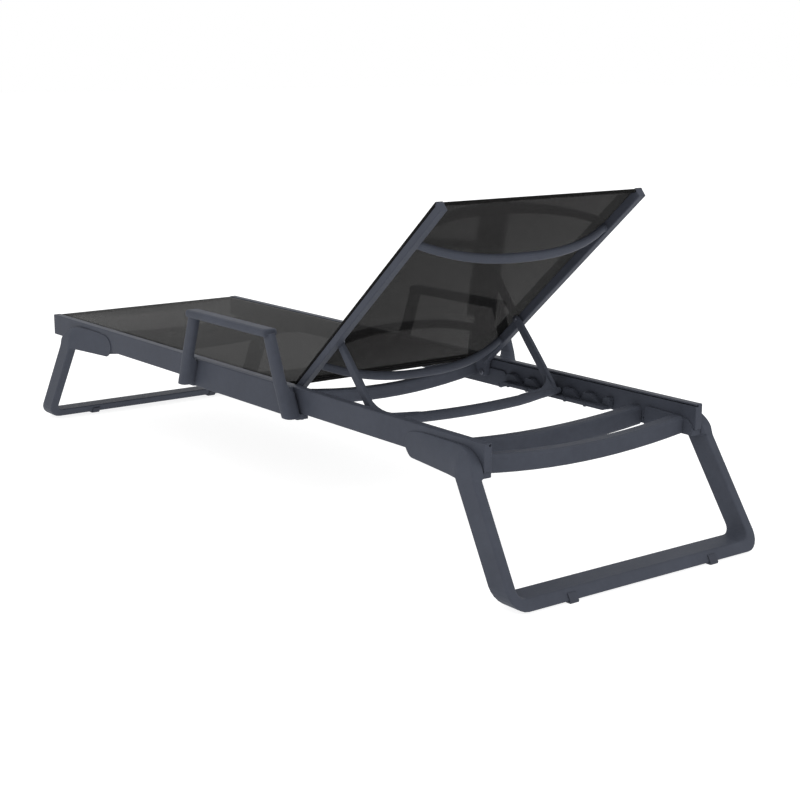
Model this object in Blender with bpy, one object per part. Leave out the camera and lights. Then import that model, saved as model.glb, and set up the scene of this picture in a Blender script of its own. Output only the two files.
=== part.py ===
"""Sun lounger with arms: a reclining sling lounger on two splayed U-shaped leg frames.

Everything is built in metres with +Z up, +Y towards the head end and +X to the sitter's left side.
The parts are drawn in a working frame and moved by SHIFT_Y at the end, so that the origin lies on
the floor under the middle of the lounger.
"""
import math

import bmesh
import bpy
from mathutils import Matrix, Vector

# ---------------------------------------------------------------- driving dimensions (metres)
SHIFT_Y = -0.058            # working frame to the part's own frame
GAP = 0.0003                # between pieces that touch on the real object

# base side rails
RAIL_FOOT_Y, RAIL_HEAD_Y = -0.962, 0.970
RAIL_OUT_X, RAIL_IN_X = 0.3033, 0.2835
RAIL_TOP_Z, RAIL_BOT_Z = 0.2998, 0.2428
SLOT_Z, SLOT_HALF = 0.2956, 0.0012     # keder slot mouth
SLOT_C_X, SLOT_R = 0.2888, 0.0030      # keder slot chamber
KEDER_R = 0.0021

# leg frames: one U moulding, sheared so that the legs splay
LEG_Y = 0.060                # depth of the moulding along the lounger
LEG_SLOPE = 0.6150           # how far the leg travels in Y for each metre of height
LEG_BACK_Y0 = 1.1172         # outer face at the floor, head end
MIRROR_Y = 0.116             # foot-end y = MIRROR_Y - head-end y
LEG_OUT_X0, LEG_OUT_SLOPE = 0.3464, 0.0514
LEG_IN_X_LOW, LEG_IN_X_HIGH = 0.3212, 0.3108
RUNNER_BOT, RUNNER_TOP = 0.004, 0.026
CORNER_OUT_R, CORNER_IN_R = 0.037, 0.018
LEG_TOP_Z = 0.230
LIP_TOP_Z = RAIL_BOT_Z - GAP
LIP_BOT_Z = 0.2300
EAR_IN_X = RAIL_OUT_X + GAP
WALL_OUT_X, WALL_IN_X = RAIL_IN_X - GAP, 0.2798
GLIDE_X, GLIDE_W = 0.196, 0.022

# bowed crossbars of the base: name, low y, high y, middle top z, middle bottom z, bow, half length
CROSSBARS = (
    ("crossbar_head", 0.902, 0.938, 0.2505, 0.2112, 0.0185, 0.2794),
    ("crossbar_behind_back", 0.776, 0.810, 0.2525, 0.2095, 0.0160, 0.2830),
    ("crossbar_under_pivot", 0.215, 0.243, 0.2560, 0.2230, 0.0250, 0.2790),
    ("crossbar_under_seat", -0.058, -0.026, 0.2560, 0.2240, 0.0170, 0.2830),
    ("crossbar_inner_foot", -0.694, -0.660, 0.2525, 0.2095, 0.0160, 0.2830),
    ("crossbar_foot", -0.822, -0.786, 0.2505, 0.2112, 0.0185, 0.2794),
)

# armrests
ARM_C_Y = 0.086
ARM_TOP_Z, ARM_BAR_Z = 0.430, 0.411
ARM_IN_X, ARM_OUT_X = 0.320, 0.356
ARM_BAR_HALF = 0.179
POST_LEAN = 0.380
POST_C = 0.1725             # post's centre line from the arm's middle, at z 0.405

# backrest, in its own plane: s up the back, d behind its front face
REST_DEG = 40.94
BACK_Y0, BACK_Z0 = 0.2732, 0.2998
BACK_LEN = 0.6823
BACK_OUT_X, BACK_IN_X = 0.2820, 0.2630
BACK_DEPTH = 0.0215
PIVOT_Y, PIVOT_Z = 0.2800, 0.2620
STRUT_Y, STRUT_Z = 0.4180, 0.4135
BAR_Y, BAR_Z = 0.5560, 0.2620
PIN_R = 0.0040
STRUT_PIN_R = 0.0035
BAR_R = 0.0085
UPPER_S, UPPER_D, UPPER_BOW = 0.5520, 0.0104, 0.0545
LOWER_S, LOWER_D, LOWER_BOW = 0.0900, 0.0090, 0.0550
BACK_BAR_R_END, BACK_BAR_R_MID = 0.0088, 0.0106
STRUT_OUT_X, STRUT_IN_X = 0.2625, 0.2500
PROP_BOW = 0.012
PROP_BAR_END = 0.2695
PROP_BAR_WIDE = 1.48    # the bar's middle against its round ends: half width in the prop's plane
PROP_BAR_THICK = 1.22   # and half thickness square to it

# ratchet strips
POCKET_PITCH = 0.0669
POCKETS = tuple(BAR_Y + k * POCKET_PITCH for k in (-2, -1, 0, 1, 2))
STRIP_Y0, STRIP_Y1 = 0.3640, 0.7220
STRIP_X_OUT, STRIP_X_MID, STRIP_X_IN = 0.2832, 0.2700, 0.2550
STRIP_TOP, LEDGE_TOP, STRIP_BOT = 0.2715, 0.2528, 0.2450

# fixing screws
SCREW_R, SCREW_HOLE_R, SCREW_HEAD_R, SCREW_HEAD_T = 0.0024, 0.0027, 0.0058, 0.0034
SCREW_X = 0.2934
SCREW_TOP_Z = 0.2620

COS, SIN = math.cos(math.radians(REST_DEG)), math.sin(math.radians(REST_DEG))

# ---------------------------------------------------------------- start from nothing
for old in list(bpy.data.objects):
    bpy.data.objects.remove(old, do_unlink=True)
for old in list(bpy.data.meshes):
    bpy.data.meshes.remove(old)
for old in list(bpy.data.materials):
    bpy.data.materials.remove(old)

COLL = bpy.context.scene.collection


def material(name, rgb, rough, metal):
    m = bpy.data.materials.new(name)
    m.use_nodes = True
    b = m.node_tree.nodes["Principled BSDF"]
    b.inputs["Base Color"].default_value = (*rgb, 1.0)
    b.inputs["Roughness"].default_value = rough
    b.inputs["Metallic"].default_value = metal
    m.diffuse_color = (*rgb, 1.0)
    return m


RESIN = (0.070, 0.078, 0.098)
DARK = (0.018, 0.018, 0.019)
STEEL = (0.55, 0.55, 0.56)


def finish(name, bm, rgb, rough, metal, origin=(0.0, 0.0, 0.0), smooth=True):
    """Write a bmesh (in the working frame) into a new object whose origin is where the caller says."""
    bmesh.ops.remove_doubles(bm, verts=bm.verts, dist=1e-6)
    bmesh.ops.recalc_face_normals(bm, faces=bm.faces)
    o = Vector(origin)
    for v in bm.verts:
        v.co -= o
    me = bpy.data.meshes.new(name)
    bm.to_mesh(me)
    bm.free()
    ob = bpy.data.objects.new(name, me)
    ob.location = o
    COLL.objects.link(ob)
    me.materials.append(material(name + "_mat", rgb, rough, metal))
    if smooth:
        for p in me.polygons:
            p.use_smooth = True
        me.set_sharp_from_angle(angle=math.radians(38))
    return ob


def loft(bm, rings, closed_path=False):
    """Skin a list of rings (same number of points each) and cap both ends."""
    vs = [[bm.verts.new(p) for p in ring] for ring in rings]
    n = len(rings[0])
    for a, b in zip(vs, vs[1:]):
        for i in range(n):
            j = (i + 1) % n
            bm.faces.new((a[i], a[j], b[j], b[i]))
    bm.faces.new(list(reversed(vs[0])))
    bm.faces.new(vs[-1])
    return vs


def prism(bm, pts, lo, hi, axis):
    """Extrude a polygon of 2-D points along X (points are y, z), Y (x, z) or Z (x, y)."""
    def at(p, t):
        if axis == "X":
            return (t, p[0], p[1])
        if axis == "Y":
            return (p[0], t, p[1])
        return (p[0], p[1], t)
    return loft(bm, [[at(p, lo) for p in pts], [at(p, hi) for p in pts]])


def arc(cx, cy, r, a0, a1, n):
    return [(cx + r * math.cos(math.radians(a0 + (a1 - a0) * i / n)),
             cy + r * math.sin(math.radians(a0 + (a1 - a0) * i / n))) for i in range(n + 1)]


def round_rect(w, h, r, n=3):
    """Rounded rectangle about the origin, anticlockwise."""
    w2, h2 = w / 2 - r, h / 2 - r
    return (arc(w2, h2, r, 0, 90, n) + arc(-w2, h2, r, 90, 180, n)
            + arc(-w2, -h2, r, 180, 270, n) + arc(w2, -h2, r, 270, 360, n))


def cylinder(bm, centre, axis, r, lo, hi, n=20):
    """A cylinder along X, Y or Z from lo to hi; centre holds the two other coordinates."""
    pts = [(centre[0] + r * math.cos(2 * math.pi * i / n + 0.05),
            centre[1] + r * math.sin(2 * math.pi * i / n + 0.05)) for i in range(n)]
    return prism(bm, pts, lo, hi, axis)


def temp(bm, name):
    """Put a bmesh into an object that is used once by a Boolean."""
    bmesh.ops.remove_doubles(bm, verts=bm.verts, dist=1e-6)
    bmesh.ops.recalc_face_normals(bm, faces=bm.faces)
    me = bpy.data.meshes.new(name)
    bm.to_mesh(me)
    bm.free()
    ob = bpy.data.objects.new(name, me)
    COLL.objects.link(ob)
    return ob


def combine(base, tools, operation):
    """Apply EXACT Booleans to base, one tool after the other, and drop the tools."""
    for tool in tools:
        mod = base.modifiers.new("cut", "BOOLEAN")
        mod.solver = "EXACT"
        mod.operation = operation
        mod.object = tool
        dg = bpy.context.evaluated_depsgraph_get()
        me = bpy.data.meshes.new_from_object(base.evaluated_get(dg))
        base.modifiers.clear()
        old = base.data
        base.data = me
        bpy.data.meshes.remove(old)
        tm = tool.data
        bpy.data.objects.remove(tool, do_unlink=True)
        bpy.data.meshes.remove(tm)
    return base


def take(ob):
    """Take a temporary object's mesh back into a bmesh."""
    bm = bmesh.new()
    bm.from_mesh(ob.data)
    me = ob.data
    bpy.data.objects.remove(ob, do_unlink=True)
    bpy.data.meshes.remove(me)
    return bm


def tool_from(build, name="tool"):
    bm = bmesh.new()
    build(bm)
    return temp(bm, name)


def side_name(sx):
    return "left" if sx > 0 else "right"


def flip_x(bm, sx):
    if sx < 0:
        for v in bm.verts:
            v.co.x = -v.co.x


def bow(x, half):
    return 1.0 - (x / half) ** 2


# ---------------------------------------------------------------- base side rails
def rail_section():
    """x, z outline of the left rail: rounded box with a keder slot on the inner face."""
    r = 0.0022
    a = math.degrees(math.asin(SLOT_HALF / SLOT_R))
    pts = []
    pts += arc(RAIL_IN_X + r, RAIL_BOT_Z + r, r, 180, 270, 2)
    pts += arc(RAIL_OUT_X - r, RAIL_BOT_Z + r, r, 270, 360, 2)
    pts += arc(RAIL_OUT_X - r, RAIL_TOP_Z - r, r, 0, 90, 3)
    pts += [(RAIL_IN_X + 0.0010, RAIL_TOP_Z), (RAIL_IN_X, RAIL_TOP_Z - 0.0010)]
    pts += [(RAIL_IN_X, SLOT_Z + SLOT_HALF)]
    pts += arc(SLOT_C_X, SLOT_Z, SLOT_R, 180 - a, -180 + a, 8)
    pts += [(RAIL_IN_X, SLOT_Z - SLOT_HALF)]
    return pts


SCREW_ARM_YS = (ARM_C_Y - 0.2335, ARM_C_Y + 0.2335)
SCREW_LEG_YS = (0.872, MIRROR_Y - 0.872)

for sx in (1, -1):
    sec = rail_section()
    bm = bmesh.new()
    rings = []
    for y, k in ((RAIL_FOOT_Y, 0.0010), (RAIL_FOOT_Y + 0.0010, 0.0), (RAIL_HEAD_Y - 0.0010, 0.0), (RAIL_HEAD_Y, 0.0010)):
        cx, cz = (RAIL_OUT_X + RAIL_IN_X) / 2, (RAIL_TOP_Z + RAIL_BOT_Z) / 2
        ring = []
        for x, z in sec:
            ring.append((x + (k if x < cx - 0.008 else (-k if x > cx + 0.008 else 0.0)), y,
                         z + (k if z < cz - 0.026 else (-k if z > cz + 0.0275 else 0.0))))
        rings.append(ring)
    loft(bm, rings)
    flip_x(bm, sx)
    body = temp(bm, "rail")
    cuts = []
    for y in SCREW_ARM_YS + SCREW_LEG_YS:
        cuts.append(tool_from(lambda b, y=y: cylinder(b, (sx * SCREW_X, y), "Z", SCREW_HOLE_R, RAIL_BOT_Z - 0.004, SCREW_TOP_Z + 0.001, 12)))
    lo, hi = sorted((sx * (RAIL_IN_X - 0.003), sx * (RAIL_IN_X + 0.0105)))
    cuts.append(tool_from(lambda b: cylinder(b, (PIVOT_Y, PIVOT_Z), "X", PIN_R + 0.00015, lo, hi, 24)))
    combine(body, cuts, "DIFFERENCE")
    finish("side_rail_" + side_name(sx), take(body), RESIN, 0.45, 0.0)

# ---------------------------------------------------------------- leg frames
def leg_pairs():
    """Outer and inner outline of the U, from the left leg's top down and round to the right leg's top."""
    out, inn = [], []
    zs = (LEG_TOP_Z, 0.140, 0.060)
    for z in zs:
        t = (LEG_TOP_Z - z) / (LEG_TOP_Z - 0.044)
        xi = LEG_IN_X_HIGH + (LEG_IN_X_LOW - LEG_IN_X_HIGH) * t
        out.append((LEG_OUT_X0 - LEG_OUT_SLOPE * z, z))
        inn.append((xi, z))
    ox, oz = 0.3444 - CORNER_OUT_R, RUNNER_BOT + CORNER_OUT_R
    ix, iz = LEG_IN_X_LOW - CORNER_IN_R, RUNNER_TOP + CORNER_IN_R
    out += arc(ox, oz, CORNER_OUT_R, 0, -90, 6)
    inn += arc(ix, iz, CORNER_IN_R, 0, -90, 6)
    out.append((0.12, RUNNER_BOT))
    inn.append((0.12, RUNNER_TOP))
    full_o = out + [(-x, z) for x, z in reversed(out)]
    full_i = inn + [(-x, z) for x, z in reversed(inn)]
    return full_o, full_i


def leg_tube(bm):
    outer, inner = leg_pairs()
    rings = []
    for (xo, zo), (xi, zi) in zip(outer, inner):
        t = math.hypot(xo - xi, zo - zi)
        ux, uz = (xo - xi) / t, (zo - zi) / t
        mx, mz = (xo + xi) / 2, (zo + zi) / 2
        ring = []
        for a, b in round_rect(t, LEG_Y, 0.0045, 3):
            x, z = mx + ux * a, mz + uz * a
            ring.append((x, LEG_BACK_Y0 - LEG_Y / 2 - LEG_SLOPE * z + b, z))
        rings.append(ring)
    loft(bm, rings)


def lerp_table(table, y):
    if y <= table[0][0]:
        return table[0][1]
    for (y0, v0), (y1, v1) in zip(table, table[1:]):
        if y <= y1:
            return v0 + (v1 - v0) * (y - y0) / (y1 - y0)
    return table[-1][1]


# the saddle in level slices (head end): height, tail end and back end along the lounger
SADDLE_Z = (0.2272, 0.2280, 0.2300, 0.2335, 0.2385, 0.2435, 0.2485, 0.2535, 0.2585, 0.2630, 0.2670, 0.2705, 0.2738, 0.2767, 0.2793, 0.2815, 0.2834, 0.2850, 0.2862, 0.2870)
SADDLE_TAIL = ((0.2280, 0.7420), (0.2300, 0.7370), (0.2335, 0.7315), (0.2385, 0.7265), (0.2435, 0.7225), (0.2485, 0.7198), (0.2535, 0.7187), (0.2585, 0.7193), (0.2630, 0.7208),
               (0.2670, 0.7228), (0.2705, 0.7250), (0.2738, 0.7278), (0.2767, 0.7312), (0.2793, 0.7355), (0.2815, 0.7410), (0.2834, 0.7490), (0.2850, 0.7600), (0.2862, 0.7760), (0.2870, 0.8050))
SADDLE_BACK = ((0.2280, 0.9770), (0.2300, 0.9763), (0.2335, 0.9751), (0.2385, 0.9738), (0.2435, 0.9724), (0.2485, 0.9704), (0.2535, 0.9672), (0.2585, 0.9634), (0.2630, 0.9594), (0.2670, 0.9555), (0.2705, 0.9517), (0.2738, 0.9476), (0.2767, 0.9432), (0.2793, 0.9383), (0.2815, 0.9330),
               (0.2834, 0.9268), (0.2850, 0.9195), (0.2862, 0.9110), (0.2870, 0.8990))
SADDLE_FLARE = ((0.7180, 0.07), (0.7420, 0.115), (0.7600, 0.190), (0.8000, 0.370), (0.8400, 0.550), (0.8700, 0.690), (0.8900, 0.790), (0.9000, 0.850), (0.9080, 0.910), (0.9150, 0.965), (0.9210, 1.0))
SADDLE_ROLL_Z, SADDLE_ROLL_H = 0.2430, 0.0455
SADDLE_STEPS = (0.0, 0.06, 0.16, 0.28, 0.40, 0.50, 0.58, 0.645, 0.70, 0.745, 0.785, 0.825, 0.87, 0.93, 1.0)


def saddle(bm):
    """Outer ear: the leg's own outer and back faces run on up and curl over on to the rail."""
    rings = []
    r = 0.0045
    for z in SADDLE_Z:
        first = z == SADDLE_Z[0]
        inset = 0.0010 if first else -0.00003
        zz = SADDLE_Z[1] if first else z
        tail = lerp_table(SADDLE_TAIL, zz) + (0.0015 if first else 0.0)
        plane = LEG_BACK_Y0 - LEG_SLOPE * z
        back_y = max(plane if zz < 0.2335 else 0.0, lerp_table(SADDLE_BACK, zz)) - inset
        k = 1.0 if z <= SADDLE_ROLL_Z else math.sqrt(max(0.0, 1.0 - ((z - SADDLE_ROLL_Z) / SADDLE_ROLL_H) ** 2))
        full = LEG_OUT_X0 - LEG_OUT_SLOPE * z - EAR_IN_X

        def out(y):
            return EAR_IN_X + full * lerp_table(SADDLE_FLARE, y) * k - inset
        rc = min(r, 0.5 * (out(back_y) - EAR_IN_X))
        turn = 0.0008 + 0.0040 * min(1.0, max(0.0, (0.2620 - z) / 0.0180)) + 0.0140 * min(1.0, max(0.0, (0.2340 - z) / 0.0040))
        y_end = back_y - rc
        ring = [(EAR_IN_X, tail), (EAR_IN_X + 0.35 * (out(tail) - EAR_IN_X), tail), (out(tail) - 0.0002, tail + 0.0008)]
        ring += [(out(tail + f * (y_end - tail)), tail + f * (y_end - tail)) for f in SADDLE_STEPS[1:]]
        ring += [(out(back_y) - rc + rc * math.cos(math.radians(t)), y_end + rc * math.sin(math.radians(t))) for t in (30, 60, 90)]
        ring += [(EAR_IN_X + min(turn, 0.4 * (out(back_y) - rc - EAR_IN_X)), back_y), (EAR_IN_X, back_y - turn)]
        rings.append([(x, y, z) for x, y in ring])
    loft(bm, rings)


def saddle_lip(bm):
    """The lip that runs from the ear to under the rail."""
    x0, x1, ya, yb, c = 0.2842, EAR_IN_X + 0.0030, 0.7560, 0.9665, 0.0030
    xw = WALL_IN_X + 0.0002
    pts = [(x1, ya), (x1, yb), (xw + c, yb), (xw, yb - c), (xw, 0.8215), (x0, 0.8160), (x0, ya + c), (x0 + c, ya)]
    top, bot, e = LIP_TOP_Z - 0.0001, LIP_BOT_Z, 0.0007
    cx, cy = 0.2950, 0.8600
    low = [(x + (e if x < cx else 0.0), y + (e if y < cy else -e)) for x, y in pts]
    loft(bm, [[(x, y, bot) for x, y in low], [(x, y, bot + e) for x, y in pts], [(x, y, top) for x, y in pts]])


def saddle_wall(bm):
    """The thin wall on the rail's inner face."""
    pts = [(0.8220, 0.2400), (0.8220, 0.2660), (0.8260, 0.2700), (0.8320, 0.2717), (0.9100, 0.2690),
           (0.9490, 0.2640), (0.9610, 0.2540), (0.9660, 0.2400)]
    prism(bm, pts, WALL_IN_X, WALL_OUT_X, "X")


def add_mirrored(build, sx):
    def made(b):
        build(b)
        flip_x(b, sx)
    return tool_from(made)


for end in ("head", "foot"):
    body = tool_from(leg_tube)
    parts = []
    for sx in (1, -1):
        parts.append(add_mirrored(saddle, sx))
        parts.append(add_mirrored(saddle_lip, sx))
        parts.append(add_mirrored(saddle_wall, sx))
    combine(body, parts, "UNION")
    cuts = []
    for sx in (1, -1):
        cuts.append(tool_from(lambda b: cylinder(b, (sx * SCREW_X, SCREW_LEG_YS[0]), "Z", SCREW_HOLE_R, 0.220, 0.2500, 12)))
    combine(body, cuts, "DIFFERENCE")
    bm = take(body)
    if end == "foot":
        for v in bm.verts:
            v.co.y = MIRROR_Y - v.co.y
    finish("leg_frame_" + end, bm, RESIN, 0.45, 0.0)


# ---------------------------------------------------------------- glides under the runners
def glide(bm):
    """Clip-on foot: a shallow U round the runner's underside, in the y, z plane."""
    def back(z, off):
        return LEG_BACK_Y0 - LEG_SLOPE * z + off

    def front(z, off):
        return LEG_BACK_Y0 - LEG_Y - LEG_SLOPE * z - off
    g, t = GAP, 0.0028
    pts = [(front(0.016, g + t), 0.016), (front(0.004, g + t), 0.004), (front(0.001, g + t - 0.003), 0.0),
           (back(0.001, g + t - 0.003), 0.0), (back(0.004, g + t), 0.004), (back(0.018, g + t), 0.018), (back(0.0190, g + 0.8 * t), 0.0190), (back(0.0185, g), 0.0185),
           (back(0.0036, g), 0.0036), (front(0.0036, g), 0.0036), (front(0.0165, g), 0.0165)]
    prism(bm, pts, -GLIDE_W / 2, GLIDE_W / 2, "X")


for end in ("head", "foot"):
    for sx in (1, -1):
        bm = bmesh.new()
        glide(bm)
        for v in bm.verts:
            v.co.x += sx * GLIDE_X
            if end == "foot":
                v.co.y = MIRROR_Y - v.co.y
        finish("glide_%s_%s" % (end, side_name(sx)), bm, DARK, 0.6, 0.0)

# ---------------------------------------------------------------- bowed crossbars of the base
for name, y0, y1, zt, zb, rise, half in CROSSBARS:
    bm = bmesh.new()
    rings = []
    n = 12
    sec = round_rect(y1 - y0, zt - zb, 0.0070, 2)
    for i in range(n + 1):
        x = -half + 2 * half * i / n
        lift = rise * (x / half) ** 2
        rings.append([(x, (y0 + y1) / 2 + a, (zt + zb) / 2 + b + lift) for a, b in sec])
    loft(bm, rings)
    finish(name, bm, RESIN, 0.45, 0.0)


# ---------------------------------------------------------------- armrests
def sweep_sections(bm, stations):
    """stations: centre (x, y, z), width, height, corner radius, unit vector across, unit vector up."""
    rings = []
    for c, w, h, r, ua, ub in stations:
        c, ua, ub = Vector(c), Vector(ua), Vector(ub)
        rings.append([tuple(c + ua * a + ub * b) for a, b in round_rect(w, h, r, 2)])
    loft(bm, rings)


def arm_bar(bm):
    zc, h = (ARM_TOP_Z + ARM_BAR_Z) / 2, ARM_TOP_Z - ARM_BAR_Z
    xc, w = (ARM_IN_X + ARM_OUT_X) / 2, ARM_OUT_X - ARM_IN_X
    st = []
    ends = ((0.0, 0.64), (0.0008, 0.80), (0.0026, 0.93), (0.0060, 1.0))
    for dy, k in [(-ARM_BAR_HALF + e, k) for e, k in ends] + [(0.0, 1.0)] + [(ARM_BAR_HALF - e, k) for e, k in reversed(ends)]:
        ww, hh = w * (0.6 + 0.4 * k), h * k
        st.append(((xc, ARM_C_Y + dy, zc), ww, hh, min(0.0060, hh * 0.42), (1, 0, 0), (0, 0, 1)))
    sweep_sections(bm, st)


def post_centre(z):
    return POST_C + (0.405 - z) * POST_LEAN


def arm_post(bm, sy):
    """Oval post from the bar down to the rail: leans out along the lounger and meets the band at the foot."""
    rings = []
    for z, x0, x1, d in ((0.4200, 0.3250, 0.3465, 0.0370), (0.4000, 0.3240, 0.3462, 0.0370), (0.3600, 0.3238, 0.3460, 0.0372), (0.3200, 0.3234, 0.3460, 0.0374),
                         (0.3090, 0.3222, 0.3460, 0.0374), (0.3010, 0.3180, 0.3460, 0.0374), (0.2950, 0.3118, 0.3460, 0.0374), (0.2880, 0.3066, 0.3460, 0.0374),
                         (0.2640, 0.3050, 0.3458, 0.0370), (0.2440, 0.3044, 0.3455, 0.0364), (0.2372, 0.3048, 0.3451, 0.0358), (0.2352, 0.3058, 0.3441, 0.0344), (0.2344, 0.3080, 0.3420, 0.0318)):
        xc, yc, a, b = (x0 + x1) / 2, ARM_C_Y + sy * post_centre(z), (x1 - x0) / 2, d / 2
        ring = []
        n = 24
        for i in range(n):
            c, q = math.cos(2 * math.pi * (i + 0.5) / n), math.sin(2 * math.pi * (i + 0.5) / n)
            ring.append((xc + a * math.copysign(abs(c) ** 0.74, c), yc + b * math.copysign(abs(q) ** 0.74, q), z))
        rings.append(ring)
    loft(bm, rings)


def arm_band(bm):
    """Band between the posts, flat on the rail's outer face, with a lip under the rail."""
    pts = [(WALL_OUT_X + 0.0002, 0.2312), (WALL_OUT_X + 0.0014, 0.2300), (0.3100, 0.2300), (0.3118, 0.2318), (0.3118, 0.2972), (0.3092, 0.2996), (EAR_IN_X, 0.2996),
           (EAR_IN_X, LIP_TOP_Z), (WALL_OUT_X + 0.0002, LIP_TOP_Z)]
    rings = []
    for sy in (-1, 1):
        rings.append([(x, ARM_C_Y + sy * (post_centre(z) + 0.0005), z) for x, z in pts])
    loft(bm, rings)


def arm_lip(bm, sy):
    """Wider part of the lip at each foot of the arm, where the screw goes."""
    y = ARM_C_Y + sy * 0.2335
    pts = [(a + 0.3000, b + y) for a, b in round_rect(0.0310, 0.0290, 0.004, 2)]
    prism(bm, pts, 0.2302, LIP_TOP_Z - 0.0001, "Z")


for sx in (1, -1):
    body = add_mirrored(arm_band, sx)
    parts = [add_mirrored(arm_bar, sx)]
    for sy in (-1, 1):
        parts.append(add_mirrored(lambda b, sy=sy: arm_post(b, sy), sx))
        parts.append(add_mirrored(lambda b, sy=sy: arm_lip(b, sy), sx))
    combine(body, parts, "UNION")
    cuts = [tool_from(lambda b, y=y: cylinder(b, (sx * SCREW_X, y), "Z", SCREW_HOLE_R, 0.220, 0.2500, 12)) for y in SCREW_ARM_YS]
    combine(body, cuts, "DIFFERENCE")
    finish("armrest_" + side_name(sx), take(body), RESIN, 0.45, 0.0)


# ---------------------------------------------------------------- fixing screws, up through the lips into the rails
def screw(bm, x, y):
    r = SCREW_R
    stations = ((LIP_BOT_Z - GAP - SCREW_HEAD_T, SCREW_HEAD_R * 0.66), (LIP_BOT_Z - GAP - SCREW_HEAD_T * 0.55, SCREW_HEAD_R), (LIP_BOT_Z - GAP, SCREW_HEAD_R),
                (LIP_BOT_Z - GAP + 0.00001, r), (SCREW_TOP_Z - 0.004, r), (SCREW_TOP_Z, 0.0008))
    rings = []
    for z, rr in stations:
        rings.append([(x + rr * math.cos(2 * math.pi * i / 12), y + rr * math.sin(2 * math.pi * i / 12), z) for i in range(12)])
    loft(bm, rings)


for label, ys in (("arm", SCREW_ARM_YS), ("leg", SCREW_LEG_YS)):
    for y, end in zip(ys, ("foot", "head") if label == "arm" else ("head", "foot")):
        for sx in (1, -1):
            bm = bmesh.new()
            screw(bm, sx * SCREW_X, y)
            finish("%s_screw_%s_%s" % (label, end, side_name(sx)), bm, STEEL, 0.35, 1.0)


# ---------------------------------------------------------------- pivot brackets and ratchet strips
def bracket(bm):
    pts = (arc(0.2180, 0.2520, 0.0090, 180, 270, 4) + [(0.3380, 0.2420)] + arc(0.3420, 0.2540, 0.0120, 270, 360, 4)
           + arc(0.3400, 0.2590, 0.0135, 10, 90, 4) + [(0.2900, 0.2725)] + [(0.2700, 0.2740)] + arc(0.2180, 0.2650, 0.0090, 90, 180, 4))
    prism(bm, pts, 0.2795, STRIP_X_OUT, "X")


def ratchet_outer(bm):
    """Toothed plate against the rail, y and z outline: steep wall at the head side of each pocket, slanted wall at the foot side."""
    pts = [(STRIP_Y0, STRIP_BOT + 0.004)]
    pts += [(STRIP_Y0, STRIP_TOP - 0.006), (STRIP_Y0 + 0.004, STRIP_TOP - 0.001), (STRIP_Y0 + 0.010, STRIP_TOP)]
    for yc in POCKETS:
        pts += [(yc - 0.0330, STRIP_TOP), (yc - 0.0270, STRIP_TOP - 0.0016), (yc - 0.0120, 0.2580)]
        pts += arc(yc - 0.0005, 0.2632, 0.0110, 205, 335, 6)
        pts += [(yc + 0.0118, 0.2640), (yc + 0.0124, STRIP_TOP - 0.0020), (yc + 0.0146, STRIP_TOP)]
    pts += [(STRIP_Y1 - 0.004, STRIP_TOP), (STRIP_Y1, STRIP_TOP - 0.004), (STRIP_Y1, STRIP_BOT + 0.004)]
    # scalloped underside: a small bump below each tooth
    under = []
    for yc in reversed(POCKETS):
        under += [(yc + 0.014, STRIP_BOT), (yc - 0.018, STRIP_BOT), (yc - 0.024, STRIP_BOT - 0.0018), (yc - 0.040, STRIP_BOT - 0.0018), (yc - 0.046, STRIP_BOT)]
    pts += [(STRIP_Y1 - 0.004, STRIP_BOT)] + under
    prism(bm, pts, STRIP_X_MID, STRIP_X_OUT, "X")


def ratchet_ledge(bm):
    pts = [(STRIP_Y0 + 0.004, STRIP_BOT), (STRIP_Y0 + 0.001, STRIP_BOT + 0.003), (STRIP_Y0 + 0.001, LEDGE_TOP - 0.002), (STRIP_Y0 + 0.004, LEDGE_TOP),
           (STRIP_Y1 - 0.006, LEDGE_TOP), (STRIP_Y1 - 0.002, LEDGE_TOP - 0.003), (STRIP_Y1 - 0.002, STRIP_BOT + 0.003), (STRIP_Y1 - 0.006, STRIP_BOT)]
    prism(bm, pts, STRIP_X_IN, STRIP_X_MID + 0.004, "X")


def ratchet_boss(bm, y):
    cylinder(bm, (y, 0.2476), "X", 0.0048, STRIP_X_IN - 0.0016, STRIP_X_IN + 0.004, 16)


for sx in (1, -1):
    body = add_mirrored(bracket, sx)
    cut = add_mirrored(lambda b: cylinder(b, (PIVOT_Y, PIVOT_Z), "X", PIN_R + 0.00015, 0.2700, 0.2900, 24), sx)
    combine(body, [cut], "DIFFERENCE")
    finish("pivot_bracket_" + side_name(sx), take(body), RESIN, 0.5, 0.0)

    body = add_mirrored(ratchet_outer, sx)
    parts = [add_mirrored(ratchet_ledge, sx)]
    parts += [add_mirrored(lambda b, y=yc - 0.0320: ratchet_boss(b, y), sx) for yc in POCKETS]
    combine(body, parts, "UNION")
    finish("ratchet_strip_" + side_name(sx), take(body), RESIN, 0.5, 0.0)


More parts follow.
